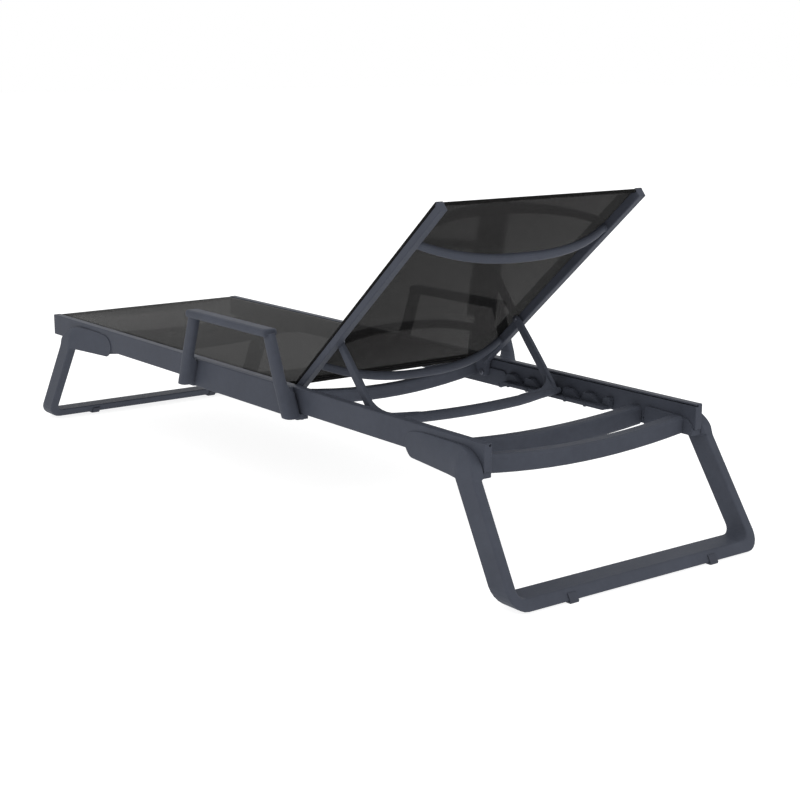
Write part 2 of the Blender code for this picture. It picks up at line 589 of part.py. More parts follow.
# ---------------------------------------------------------------- seat sling, its keder rods and its end rods
SEAT_Y0, SEAT_Y1 = -0.9610, 0.2480
bm = bmesh.new()
prism(bm, [(-0.2862, SLOT_Z - 0.0005), (0.2862, SLOT_Z - 0.0005), (0.2862, SLOT_Z + 0.0005), (-0.2862, SLOT_Z + 0.0005)], SEAT_Y0, SEAT_Y1, "Y")
finish("seat_sling", bm, DARK, 0.8, 0.0, smooth=False)
for sx in (1, -1):
    bm = bmesh.new()
    cylinder(bm, (sx * SLOT_C_X, SLOT_Z), "Y", KEDER_R, SEAT_Y0, SEAT_Y1, 14)
    finish("seat_keder_rod_" + side_name(sx), bm, DARK, 0.6, 0.0)
for end, y in (("foot", SEAT_Y0 + 0.0070), ("head", SEAT_Y1 - 0.0070)):
    bm = bmesh.new()
    prism(bm, [(y + a, 0.29375 + b) for a, b in round_rect(0.0120, 0.0020, 0.0007, 2)], -0.2828, 0.2828, "X")
    finish("seat_hem_bar_" + end, bm, DARK, 0.6, 0.0)


# ---------------------------------------------------------------- backrest
def back(x, s, d):
    return (x, BACK_Y0 + COS * s + SIN * d, BACK_Z0 + SIN * s - COS * d)


PIVOT = (0.0, PIVOT_Y, PIVOT_Z)
PIVOT_S = COS * (PIVOT_Y - BACK_Y0) + SIN * (PIVOT_Z - BACK_Z0)
PIVOT_D = SIN * (PIVOT_Y - BACK_Y0) - COS * (PIVOT_Z - BACK_Z0)
STRUT_S = COS * (STRUT_Y - BACK_Y0) + SIN * (STRUT_Z - BACK_Z0)
STRUT_D = SIN * (STRUT_Y - BACK_Y0) - COS * (STRUT_Z - BACK_Z0)
CAP_S = BACK_LEN - 0.0065
KED_D, KED_HALF, KED_C_X, KED_R = 0.0052, 0.0009, 0.2776, 0.0024
EAR_X0, EAR_X1 = 0.2650, 0.2785


def back_rail(bm):
    r = 0.0020
    a = math.degrees(math.asin(KED_HALF / KED_R))
    pts = []                                       # x, d outline
    pts += arc(BACK_IN_X + r, r, r, 180, 270, 2)
    pts += arc(BACK_OUT_X - r, r, r, 270, 360, 2)
    pts += [(BACK_OUT_X, KED_D - KED_HALF)]
    pts += arc(KED_C_X, KED_D, KED_R, -a, -360 + a, 10)
    pts += [(BACK_OUT_X, KED_D + KED_HALF)]
    pts += arc(BACK_OUT_X - r, BACK_DEPTH - r, r, 0, 90, 2)
    pts += arc(BACK_IN_X + r, BACK_DEPTH - r, r, 90, 180, 2)
    loft(bm, [[back(x, s, d) for x, d in pts] for s in (0.0, CAP_S - GAP)])


def back_ear(bm):
    """Hinge ear: a round-nosed tongue that runs on from the rail's lower end, with a lobe behind it for the pin."""
    pts = [(0.0600, 0.0140), (0.0600, 0.0205), (0.0200, 0.0212), (0.0120, 0.0225)]
    pts += [(PIVOT_S + 0.0105 * math.cos(math.radians(t)), PIVOT_D + 0.0105 * math.sin(math.radians(t)))
            for t in (53, 78, 103, 128, 153, 178, 200)]
    pts += [(-0.0205 + 0.0100 * math.cos(math.radians(t)), 0.0115 + 0.0100 * math.sin(math.radians(t))) for t in (150, 174, 198, 222, 246, 270)]
    pts += [(0.0008, 0.0016), (0.0008, 0.0090), (0.0060, 0.0092)]
    loft(bm, [[back(x, s, d) for s, d in pts] for x in (EAR_X0, EAR_X1)])


def along_x(bm, s, d, r, lo, hi, n=20):
    loft(bm, [[back(x, s + r * math.cos(2 * math.pi * i / n), d + r * math.sin(2 * math.pi * i / n)) for i in range(n)]
              for x in (lo, hi)])


for sx in (1, -1):
    body = add_mirrored(back_rail, sx)
    combine(body, [add_mirrored(back_ear, sx)], "UNION")
    cuts = [
        add_mirrored(lambda b: along_x(b, PIVOT_S, PIVOT_D, PIN_R + 0.00015, 0.2600, 0.2860, 24), sx),
        add_mirrored(lambda b: along_x(b, STRUT_S, STRUT_D, STRUT_PIN_R + 0.0001, 0.2600, 0.2715, 20), sx),
        add_mirrored(lambda b: along_x(b, UPPER_S, UPPER_D, 0.0043, 0.2600, 0.2712, 16), sx),
        add_mirrored(lambda b: along_x(b, LOWER_S, LOWER_D + 0.0015, 0.0043, 0.2600, 0.2712, 16), sx),
    ]

    def socket(b):
        pts = [(0.2725 + 0.0034 * math.cos(2 * math.pi * i / 16), 0.0135 + 0.0034 * math.sin(2 * math.pi * i / 16)) for i in range(16)]
        loft(b, [[back(x, s, d) for x, d in pts] for s in (CAP_S - 0.012, CAP_S + 0.004)])
    cuts.append(add_mirrored(socket, sx))
    combine(body, cuts, "DIFFERENCE")
    finish("back_rail_" + side_name(sx), take(body), RESIN, 0.45, 0.0, PIVOT)

    # cap with a spigot, pushed into the rail's top end
    bm = bmesh.new()
    cx, cd = (BACK_IN_X + BACK_OUT_X) / 2, BACK_DEPTH / 2

    def ring(s, w, h, r, ox=cx, od=cd):
        return [back(ox + a, s, od + b) for a, b in round_rect(w, h, r, 3)]
    rings = [ring(CAP_S - 0.0095, 0.0050, 0.0050, 0.0024, 0.2725, 0.0135), ring(CAP_S - 0.0085, 0.0062, 0.0062, 0.0030, 0.2725, 0.0135),
             ring(CAP_S, 0.0062, 0.0062, 0.0030, 0.2725, 0.0135), ring(CAP_S + 0.00001, 0.0190, 0.0215, 0.0020),
             ring(BACK_LEN - 0.0005, 0.0190, 0.0215, 0.0020), ring(BACK_LEN, 0.0181, 0.0206, 0.0017)]
    loft(bm, rings)
    flip_x(bm, sx)
    finish("back_end_cap_" + side_name(sx), bm, RESIN, 0.5, 0.0, PIVOT)

    # pivot pin, held by the bracket and the rail; the ear turns on it
    bm = bmesh.new()
    n = 18
    stations = ((0.2609, 0.0045), (0.2614, 0.0062), (0.2634, 0.0068), (0.2646, 0.0068), (0.26461, PIN_R), (0.2922, PIN_R), (0.2930, PIN_R - 0.0008))
    loft(bm, [[(x, PIVOT_Y + r * math.cos(2 * math.pi * i / n), PIVOT_Z + r * math.sin(2 * math.pi * i / n)) for i in range(n)] for x, r in stations])
    flip_x(bm, sx)
    finish("back_pivot_pin_" + side_name(sx), bm, STEEL, 0.35, 1.0, PIVOT)

    # strut pin, pressed into the back rail; the prop turns on it
    bm = bmesh.new()
    n = 16
    stations = ((0.2458, 0.0040), (0.2463, 0.0056), (0.2482, 0.0062), (0.2496, 0.0062), (0.24961, STRUT_PIN_R), (0.2702, STRUT_PIN_R), (0.2709, STRUT_PIN_R - 0.0007))
    loft(bm, [[(x, STRUT_Y + r * math.cos(2 * math.pi * i / n), STRUT_Z + r * math.sin(2 * math.pi * i / n)) for i in range(n)] for x, r in stations])
    flip_x(bm, sx)
    finish("prop_pin_" + side_name(sx), bm, STEEL, 0.35, 1.0, PIVOT)


def back_crossbar(name, s0, d0, rise):
    """Round bar between the back rails, bowed rearwards, with a flange and a spigot at each end."""
    xs = [0.2705, 0.26285, 0.26284, 0.25900, 0.25899]
    rs = [0.0040, 0.0040, 0.0102, 0.0099, BACK_BAR_R_END + 0.0007]
    n = 20
    path = list(zip([-x for x in xs], rs))
    for i in range(1, n):
        x = -0.2589 + 2 * 0.2589 * i / n
        t = abs(x) / 0.2589
        path.append((x, BACK_BAR_R_END + (BACK_BAR_R_MID - BACK_BAR_R_END) * (1.0 - t * t)))
    path += [(x, r) for x, r in reversed(list(zip(xs, rs)))]

    def offset(x):
        t = min(1.0, abs(x) / 0.2589)
        return rise * (1.0 - t ** 2.5)

    def slope(x):
        e = 0.0005
        return (offset(x + e) - offset(x - e)) / (2 * e) if abs(x) < 0.2580 else 0.0
    rings = []
    m = 14
    for x, r in path:
        k = slope(x) if abs(x) < 0.2585 else 0.0
        c = 1.0 / math.hypot(1.0, k)
        ring = []
        for j in range(m):
            a = 2 * math.pi * j / m
            u, v = r * math.cos(a), r * math.sin(a)      # u along s, v along d and tilted with the path
            ring.append(back(x - v * k * c, s0 + u, d0 + offset(x) + v * c))
        rings.append(ring)
    bm = bmesh.new()
    loft(bm, rings)
    finish(name, bm, RESIN, 0.45, 0.0, PIVOT)


back_crossbar("back_crossbar_upper", UPPER_S, UPPER_D, UPPER_BOW)
back_crossbar("back_crossbar_lower", LOWER_S, LOWER_D + 0.0015, LOWER_BOW)

# back sling: front panel with a flange down the outer side of each rail
bm = bmesh.new()
f0, f1, xe = -0.0013, -0.0003, 0.2831
pts = [(-xe, 0.0036), (-xe, f0 + 0.0006), (-xe + 0.0006, f0), (xe - 0.0006, f0), (xe, f0 + 0.0006), (xe, 0.0036),
       (BACK_OUT_X + GAP, 0.0036), (BACK_OUT_X + GAP, f1), (-BACK_OUT_X - GAP, f1), (-BACK_OUT_X - GAP, 0.0036)]
loft(bm, [[back(x, s, d) for x, d in pts] for s in (0.0020, BACK_LEN - 0.0004)])
finish("back_sling", bm, DARK, 0.8, 0.0, PIVOT, smooth=False)
for sx in (1, -1):
    bm = bmesh.new()
    n = 14
    loft(bm, [[back(sx * (KED_C_X + 0.0017 * math.cos(2 * math.pi * i / n)), s, KED_D + 0.0017 * math.sin(2 * math.pi * i / n)) for i in range(n)]
              for s in (0.0030, CAP_S - 0.0020)])
    finish("back_keder_rod_" + side_name(sx), bm, DARK, 0.6, 0.0, PIVOT)
for end, s in (("lower", 0.0085), ("upper", BACK_LEN - 0.0068)):
    bm = bmesh.new()
    n = 14
    loft(bm, [[back(x, s + 0.0026 * math.cos(2 * math.pi * i / n), 0.0031 + 0.0026 * math.sin(2 * math.pi * i / n)) for i in range(n)]
              for x in (-0.2626, 0.2626)])
    finish("back_hem_rod_" + end, bm, DARK, 0.6, 0.0, PIVOT)

# ---------------------------------------------------------------- prop: two struts and a bowed bar in one moulding
PROP_LEN = math.hypot(BAR_Y - STRUT_Y, BAR_Z - STRUT_Z)
UY, UZ = (BAR_Y - STRUT_Y) / PROP_LEN, (BAR_Z - STRUT_Z) / PROP_LEN
VY, VZ = -UZ, UY


def prop(x, u, v):
    """u along the strut from its pivot to the bar, v square to the prop's plane (upwards and back)."""
    return (x, STRUT_Y + UY * u + VY * v, STRUT_Z + UZ * u + VZ * v)


def strut(bm):
    w = STRUT_OUT_X - STRUT_IN_X
    xc = (STRUT_OUT_X + STRUT_IN_X) / 2
    rings = []
    for u, h in ((-0.0080, 0.0030), (-0.0070, 0.0043), (-0.0050, 0.0065), (-0.0025, 0.0078), (0.0, 0.0082), (0.0250, 0.0092), (0.0600, 0.0104), (0.1200, 0.0106),
                 (PROP_LEN - 0.020, 0.0098), (PROP_LEN - 0.006, 0.0073), (PROP_LEN, 0.0068), (PROP_LEN + 0.0045, 0.0053)):
        rings.append([prop(xc + a, u, b) for a, b in round_rect(w, 2 * h, min(0.0035, h * 0.8), 3)])
    loft(bm, rings)


def prop_bar(bm):
    n, m = 16, 14
    rings = []
    for i in range(n + 1):
        x = -PROP_BAR_END + 2 * PROP_BAR_END * i / n
        t = min(1.0, abs(x) / 0.2500)
        du = PROP_BOW * (1.0 - t * t)
        k = 0.0 if abs(x) > 0.25 else -2 * PROP_BOW * x / 0.25 ** 2
        c = 1.0 / math.hypot(1.0, k)
        e = max(0.0, min(1.0, (0.2250 - abs(x)) / 0.0900))
        swell = e * e * (3 - 2 * e)
        rv = BAR_R * (0.94 if i in (0, n) else 1.0 + (PROP_BAR_THICK - 1.0) * swell)
        ru = BAR_R * (0.94 if i in (0, n) else 1.0 + (PROP_BAR_WIDE - 1.0) * swell)
        rings.append([prop(x - ru * math.sin(2 * math.pi * j / m) * k * c, PROP_LEN + du + ru * math.sin(2 * math.pi * j / m) * c, rv * math.cos(2 * math.pi * j / m))
                      for j in range(m)])
    loft(bm, rings)


def prop_fillet(bm):
    """Web in the corner between a strut and the bar, in the prop's plane."""
    x0, u0, r = STRUT_IN_X + 0.004, PROP_LEN + 0.002, 0.046
    pts = [(x0, u0), (x0, u0 - r - 0.010)]
    pts += [(STRUT_IN_X - r + r * math.cos(math.radians(t)), (PROP_LEN - 0.0095) - r + r * math.sin(math.radians(t))) for t in (0, 15, 30, 45, 60, 75, 88)]
    pts += [(0.150, PROP_LEN - 0.0040), (0.110, PROP_LEN + 0.0030)]
    loft(bm, [[prop(x, u, v) for x, u in pts] for v in (-0.0062, 0.0062)])


body = tool_from(prop_bar)
parts = []
for sx in (1, -1):
    parts.append(add_mirrored(strut, sx))
    parts.append(add_mirrored(prop_fillet, sx))
combine(body, parts, "UNION")
cuts = []
for sx in (1, -1):
    cuts.append(add_mirrored(lambda b: cylinder(b, (STRUT_Y, STRUT_Z), "X", STRUT_PIN_R + 0.0002, 0.2450, 0.2680, 20), sx))
combine(body, cuts, "DIFFERENCE")
finish("prop_frame", take(body), RESIN, 0.45, 0.0, (0.0, STRUT_Y, STRUT_Z))

# ---------------------------------------------------------------- centre the lounger over its own footprint
for ob in bpy.data.objects:
    ob.location.y += SHIFT_Y
bpy.context.view_layer.update()
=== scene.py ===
"""Looks of the sun lounger with arms: finishes, woven slings with hems and stitching, studio and camera.

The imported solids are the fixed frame. The two plain sling solids are replaced by woven cloth that
wraps its keder rods and hem bars.
"""
import math

import bmesh
import bpy
import numpy as np
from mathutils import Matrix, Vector


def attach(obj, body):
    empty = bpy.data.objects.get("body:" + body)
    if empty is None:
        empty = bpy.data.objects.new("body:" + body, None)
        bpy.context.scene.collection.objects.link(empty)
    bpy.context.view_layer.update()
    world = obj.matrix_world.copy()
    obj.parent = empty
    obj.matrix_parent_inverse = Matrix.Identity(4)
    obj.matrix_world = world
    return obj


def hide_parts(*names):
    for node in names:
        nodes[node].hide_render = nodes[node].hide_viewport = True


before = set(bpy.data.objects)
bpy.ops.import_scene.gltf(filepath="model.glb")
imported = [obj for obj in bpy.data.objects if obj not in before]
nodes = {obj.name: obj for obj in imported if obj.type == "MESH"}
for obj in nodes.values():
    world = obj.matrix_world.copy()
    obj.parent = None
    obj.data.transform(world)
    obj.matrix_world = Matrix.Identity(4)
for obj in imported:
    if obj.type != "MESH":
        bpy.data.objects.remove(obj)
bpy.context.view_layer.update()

# ---------------------------------------------------------------- sizes shared with the solids (metres)
REST = math.radians(40.94)
SIN, COS = math.sin(REST), math.cos(REST)
BACK_Y0, BACK_Z0 = 0.2152, 0.2998
CAP_S, BACK_LEN = 0.6758, 0.6823
RAIL_IN_X = 0.2835
SEAT_Z = 0.2956
SEAT_KEDER_X = 0.2888
SEAT_Y0, SEAT_Y1 = -1.0190, 0.1900
SEAT_RISE = 0.0030                     # the stretched cloth lies this far above its slots' mouths
SEAT_BAR_IN = 0.0070
BACK_KEDER_X, BACK_KEDER_D = 0.2776, 0.0052
CLOTH = 0.0006
YARN_X, YARN_Y = 0.00150, 0.00120      # pitch of the warp and of the weft


# ---------------------------------------------------------------- node helpers
class Net:
    """A material's node tree with short calls for the nodes that the finishes need."""

    def __init__(self, name):
        self.material = bpy.data.materials.new(name)
        self.material.use_nodes = True
        self.tree = self.material.node_tree
        self.tree.nodes.clear()
        self.out = self.tree.nodes.new("ShaderNodeOutputMaterial")
        self.shader = self.tree.nodes.new("ShaderNodeBsdfPrincipled")
        self.link(self.shader.outputs["BSDF"], self.out.inputs["Surface"])

    def link(self, a, b):
        self.tree.links.new(a, b)

    def put(self, socket, value):
        if isinstance(value, bpy.types.NodeSocket):
            self.link(value, socket)
        else:
            socket.default_value = value

    def node(self, kind, settings=None, **inputs):
        n = self.tree.nodes.new(kind)
        for k, v in (settings or {}).items():
            setattr(n, k, v)
        for k, v in inputs.items():
            self.put(n.inputs[k.replace("_", " ")], v)
        return n

    def math(self, op, a, b=None, c=None, clamp=False):
        n = self.tree.nodes.new("ShaderNodeMath")
        n.operation = op
        n.use_clamp = clamp
        self.put(n.inputs[0], a)
        if b is not None:
            self.put(n.inputs[1], b)
        if c is not None:
            self.put(n.inputs[2], c)
        return n.outputs[0]

    def vmath(self, op, a, b=None):
        n = self.tree.nodes.new("ShaderNodeVectorMath")
        n.operation = op
        self.put(n.inputs[0], a)
        if b is not None:
            self.put(n.inputs[1], b)
        return n.outputs["Value"] if op in ("DOT_PRODUCT", "LENGTH") else n.outputs[0]

    def noise(self, vector, scale, detail=2.0, rough=0.5):
        n = self.node("ShaderNodeTexNoise", Vector=vector, Scale=scale, Detail=detail, Roughness=rough)
        return n.outputs["Fac"]

    def remap(self, value, a0, a1, b0, b1, smooth=False):
        n = self.tree.nodes.new("ShaderNodeMapRange")
        n.interpolation_type = "SMOOTHSTEP" if smooth else "LINEAR"
        self.put(n.inputs["Value"], value)
        n.inputs["From Min"].default_value = a0
        n.inputs["From Max"].default_value = a1
        n.inputs["To Min"].default_value = b0
        n.inputs["To Max"].default_value = b1
        return n.outputs["Result"]

    def mix(self, fac, a, b):
        n = self.tree.nodes.new("ShaderNodeMix")
        n.data_type = "RGBA"
        self.put(n.inputs[0], fac)
        self.put(n.inputs[6], a)
        self.put(n.inputs[7], b)
        return n.outputs[2]

    def bump(self, height, distance, strength=1.0, normal=None):
        n = self.tree.nodes.new("ShaderNodeBump")
        n.inputs["Strength"].default_value = strength
        n.inputs["Distance"].default_value = distance
        self.put(n.inputs["Height"], height)
        if normal is not None:
            self.link(normal, n.inputs["Normal"])
        return n.outputs["Normal"]


def rgb(r, g, b):
    return (r, g, b, 1.0)


# ---------------------------------------------------------------- finishes
def resin(name, base, rough=0.50, grain=1.0, edge=0.0016, specular=0.05):
    """Moulded resin: fine spark-eroded grain, faint flow clouding, edges a little polished and with a painted
    highlight that makes them lighter.
    """
    n = Net(name)
    at = n.node("ShaderNodeTexCoord").outputs["Object"]
    cloud = n.noise(at, 6.5, 4.0, 0.55)
    blotch = n.noise(at, 55.0, 3.0, 0.6)
    tone = n.math("ADD", n.math("MULTIPLY", cloud, 0.6), n.math("MULTIPLY", blotch, 0.4))
    dark = rgb(*(c * 0.90 for c in base))
    light = rgb(*(c * 1.10 for c in base))
    colour = n.mix(n.remap(tone, 0.34, 0.66, 0.0, 1.0), dark, light)
    # where the rounded normal leaves the flat one, there is an edge; there the colour gets a painted highlight and
    # the roughness a little polish
    bevel = n.node("ShaderNodeBevel", {"samples": 6}, Radius=edge).outputs["Normal"]
    flat = n.node("ShaderNodeNewGeometry").outputs["Normal"]
    turn = n.math("SUBTRACT", 1.0, n.vmath("DOT_PRODUCT", bevel, flat))
    painted_edge_highlight_and_polish = n.math("MULTIPLY", n.remap(turn, 0.01, 0.22, 0.0, 1.0, True), n.remap(n.noise(at, 38.0, 4.0, 0.65), 0.40, 0.72, 0.35, 1.0))
    # painted highlight: the edges, in patches, are mixed towards this lighter colour
    painted_highlight_colour = rgb(*(min(1.0, c * 1.55 + 0.012) for c in base))
    colour = n.mix(n.math("MULTIPLY", painted_edge_highlight_and_polish, 0.45), colour, painted_highlight_colour)
    n.link(colour, n.shader.inputs["Base Color"])
    speck = n.noise(at, 1500.0, 2.0, 0.6)
    peel = n.noise(at, 240.0, 2.0, 0.5)
    r = n.math("ADD", n.remap(blotch, 0.3, 0.7, rough - 0.045, rough + 0.045), n.math("MULTIPLY", n.math("SUBTRACT", speck, 0.5), 0.16))
    r = n.math("SUBTRACT", r, n.math("MULTIPLY", painted_edge_highlight_and_polish, 0.07), clamp=True)
    n.link(r, n.shader.inputs["Roughness"])
    height = n.math("ADD", n.math("MULTIPLY", speck, 0.75 * grain), n.math("MULTIPLY", peel, 0.5))
    n.link(n.bump(height, 0.00016, 0.55, bevel), n.shader.inputs["Normal"])
    n.shader.inputs["Specular IOR Level"].default_value = specular
    return n.material


def coated_steel(name, base):
    """Dark passivated steel of the pins and screws, with fine turning marks."""
    n = Net(name)
    at = n.node("ShaderNodeTexCoord").outputs["Object"]
    blotch = n.noise(at, 300.0, 3.0, 0.6)
    n.link(n.mix(n.remap(blotch, 0.35, 0.65, 0.0, 1.0), rgb(*(c * 0.8 for c in base)), rgb(*(c * 1.2 for c in base))), n.shader.inputs["Base Color"])
    n.link(n.remap(blotch, 0.3, 0.7, 0.30, 0.46), n.shader.inputs["Roughness"])
    n.shader.inputs["Metallic"].default_value = 0.85
    n.link(n.bump(n.noise(at, 2600.0, 1.0), 0.00006, 0.5), n.shader.inputs["Normal"])
    return n.material


def weave(name, tint=0.0125, hole=(0.25, 0.36), yarn_clear=0.078, pore_clear=0.30, rough=(0.050, 0.075), specular=0.013):
    """Plain weave of coated yarn with small open pores. It reads the cloth's own map, in metres."""
    n = Net(name)
    uv = n.node("ShaderNodeUVMap", {"uv_map": "cloth"}).outputs["UV"]
    sep = n.node("ShaderNodeSeparateXYZ", Vector=uv)
    u = n.math("DIVIDE", sep.outputs["X"], YARN_X)
    v = n.math("DIVIDE", sep.outputs["Y"], YARN_Y)
    su = n.math("SINE", n.math("MULTIPLY", u, math.pi))
    sv = n.math("SINE", n.math("MULTIPLY", v, math.pi))
    a, b = n.math("ABSOLUTE", su), n.math("ABSOLUTE", sv)
    over = n.math("MULTIPLY_ADD", n.math("MULTIPLY", su, sv), 1.6, 0.5, clamp=True)
    warp = n.math("MULTIPLY", n.math("POWER", a, 0.6), n.math("MULTIPLY_ADD", over, 0.45, 0.55))
    weft = n.math("MULTIPLY", n.math("POWER", b, 0.6), n.math("SUBTRACT", 1.0, n.math("MULTIPLY", over, 0.45)))
    height = n.math("MAXIMUM", warp, weft)
    gap = n.math("MULTIPLY", n.math("SUBTRACT", 1.0, a), n.math("SUBTRACT", 1.0, b))
    pore = n.remap(gap, hole[0], hole[1], 0.0, 1.0, True)
    # the pores are open, and the thin coating lets a little light through the yarn as well
    n.link(n.math("SUBTRACT", 1.0 - yarn_clear, n.math("MULTIPLY", pore, pore_clear), clamp=True), n.shader.inputs["Alpha"])
    # yarn to yarn tone, slow clouding of the coating, and painted shade that darkens the yarn where it dips low
    # between crossings
    lines_u = n.noise(n.node("ShaderNodeCombineXYZ", X=n.math("MULTIPLY", n.math("FLOOR", u), 7.31), Y=n.math("MULTIPLY", v, 0.06)).outputs[0], 1.0, 1.0)
    lines_v = n.noise(n.node("ShaderNodeCombineXYZ", X=n.math("MULTIPLY", u, 0.06), Y=n.math("MULTIPLY", n.math("FLOOR", v), 5.17)).outputs[0], 1.0, 1.0)
    cloud = n.noise(uv, 9.0, 4.0, 0.6)
    tone = n.math("ADD", n.math("MULTIPLY", n.math("ADD", lines_u, lines_v), 0.35), n.math("MULTIPLY", cloud, 0.3))
    # painted shade: the colour darkens with the yarn's depth in the weave
    yarn_tone_and_painted_shade = n.math("MULTIPLY", n.remap(tone, 0.35, 0.65, 0.82, 1.18), n.remap(height, 0.2, 0.95, 0.45, 1.0))
    colour = n.node("ShaderNodeCombineXYZ", X=n.math("MULTIPLY", yarn_tone_and_painted_shade, tint), Y=n.math("MULTIPLY", yarn_tone_and_painted_shade, tint), Z=n.math("MULTIPLY", yarn_tone_and_painted_shade, tint * 0.99)).outputs[0]
    n.link(colour, n.shader.inputs["Base Color"])
    n.link(n.remap(cloud, 0.3, 0.7, rough[0], rough[1]), n.shader.inputs["Roughness"])
    n.link(n.bump(height, 0.00012, 0.03), n.shader.inputs["Normal"])
    n.shader.inputs["Specular IOR Level"].default_value = specular
    return n.material


def thread(name):
    n = Net(name)
    at = n.node("ShaderNodeTexCoord").outputs["Object"]
    ply = n.node("ShaderNodeTexWave", {"wave_type": "BANDS", "bands_direction": "DIAGONAL"}, Vector=at, Scale=900.0, Distortion=0.6).outputs["Fac"]
    n.link(n.mix(ply, rgb(0.010, 0.010, 0.011), rgb(0.030, 0.030, 0.033)), n.shader.inputs["Base Color"])
    n.link(n.remap(ply, 0.0, 1.0, 0.75, 0.55), n.shader.inputs["Roughness"])
    n.link(n.bump(ply, 0.0001, 0.8), n.shader.inputs["Normal"])
    return n.material


ANTHRACITE = (0.0535, 0.0590, 0.0755)
frame_finish = resin("frame_resin_finish", ANTHRACITE)
rail_finish = resin("rail_resin_finish", (0.0520, 0.0572, 0.0735), rough=0.45, grain=0.8)
fitting_finish = resin("fitting_resin_finish", (0.0490, 0.0540, 0.0690), rough=0.54, grain=1.2, edge=0.0010)
glide_finish = resin("glide_plastic_finish", (0.0500, 0.0545, 0.0690), rough=0.58, grain=1.3, edge=0.0010)
rod_finish = resin("rod_plastic_finish", (0.0120, 0.0120, 0.0130), rough=0.40, grain=0.6, edge=0.0005)
pin_finish = coated_steel("pin_steel_finish", (0.105, 0.112, 0.138))
cloth_finish = weave("sling_weave")
seat_finish = weave("seat_sling_weave", specular=0.0019)
thread_finish = thread("sling_thread")

for name, ob in nodes.items():
    if name.startswith(("side_rail", "back_rail")):
        finish = rail_finish
    elif name.startswith(("ratchet_strip", "pivot_bracket")):
        finish = fitting_finish
    elif name.startswith("glide"):
        finish = glide_finish
    elif "keder_rod" in name or "hem_" in name:
        finish = rod_finish
    elif "screw" in name or "_pin_" in name:
        finish = pin_finish
    else:
        finish = frame_finish
    for slot in ob.material_slots:
        slot.material = finish


# ---------------------------------------------------------------- cloth
def arc_points(ca, cb, r, a0, a1, n):
    """Points on a circle, from angle a0 to a1 in degrees."""
    return [(ca + r * math.cos(math.radians(a0 + (a1 - a0) * i / n)), cb + r * math.sin(math.radians(a0 + (a1 - a0) * i / n))) for i in range(n + 1)]


class Cloth:
    """Collects thin closed ribbons, each one cross-section swept along stations, with a map in metres."""

    def __init__(self):
        self.verts, self.faces, self.maps = [], [], []

    def sweep(self, path, stations, place, u0=0.0, v0=0.0, turned=False, thickness=CLOTH):
        """path: points (a, b) of the cloth's middle line; place(a, b, c) gives the point at station c."""
        p = np.array(path, float)
        steps = np.linalg.norm(np.diff(p, axis=0), axis=1)
        along = np.concatenate([[0.0], np.cumsum(steps)])
        t = np.gradient(p, axis=0)
        t /= np.maximum(np.linalg.norm(t, axis=1), 1e-12)[:, None]
        nrm = np.stack([-t[:, 1], t[:, 0]], axis=1)
        one, two = p + nrm * thickness / 2, p - nrm * thickness / 2
        m, k, base = len(p), len(stations), len(self.verts)
        for c in stations:
            self.verts += [tuple(place(a, b, c)) for a, b in one]
            self.verts += [tuple(place(a, b, c)) for a, b in two]

        def index(j, side, i):
            return base + j * 2 * m + side * m + i

        def uv(j, i):
            q = (u0 + along[i], v0 + stations[j])
            return (q[1], q[0]) if turned else q

        def face(corners):
            self.faces.append([index(*c) for c in corners])
            self.maps.append([uv(c[0], c[2]) for c in corners])
        for j in range(k - 1):
            for i in range(m - 1):
                face([(j, 0, i), (j, 0, i + 1), (j + 1, 0, i + 1), (j + 1, 0, i)])
                face([(j, 1, i), (j + 1, 1, i), (j + 1, 1, i + 1), (j, 1, i + 1)])
            face([(j, 0, 0), (j + 1, 0, 0), (j + 1, 1, 0), (j, 1, 0)])
            face([(j, 0, m - 1), (j, 1, m - 1), (j + 1, 1, m - 1), (j + 1, 0, m - 1)])
        for i in range(m - 1):
            face([(0, 0, i), (0, 1, i), (0, 1, i + 1), (0, 0, i + 1)])
            face([(k - 1, 0, i), (k - 1, 0, i + 1), (k - 1, 1, i + 1), (k - 1, 1, i)])
        return float(along[-1])

    def make(self, name, material, body):
        me = bpy.data.meshes.new(name)
        me.from_pydata(self.verts, [], self.faces)
        layer = me.uv_layers.new(name="cloth")
        flat = [c for f in self.maps for c in f]
        for loop, c in zip(layer.data, flat):
            loop.uv = c
        me.validate()
        for poly in me.polygons:
            poly.use_smooth = True
        ob = bpy.data.objects.new(name, me)
        bpy.context.scene.collection.objects.link(ob)
        outward(ob)
        me.set_sharp_from_angle(angle=math.radians(50))
        me.materials.append(material)
        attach(ob, body)
        return ob


def outward(ob):
    """Faces of every closed island look outwards."""
    bm = bmesh.new()
    bm.from_mesh(ob.data)
    bmesh.ops.recalc_face_normals(bm, faces=bm.faces[:])
    bm.to_mesh(ob.data)
    bm.free()


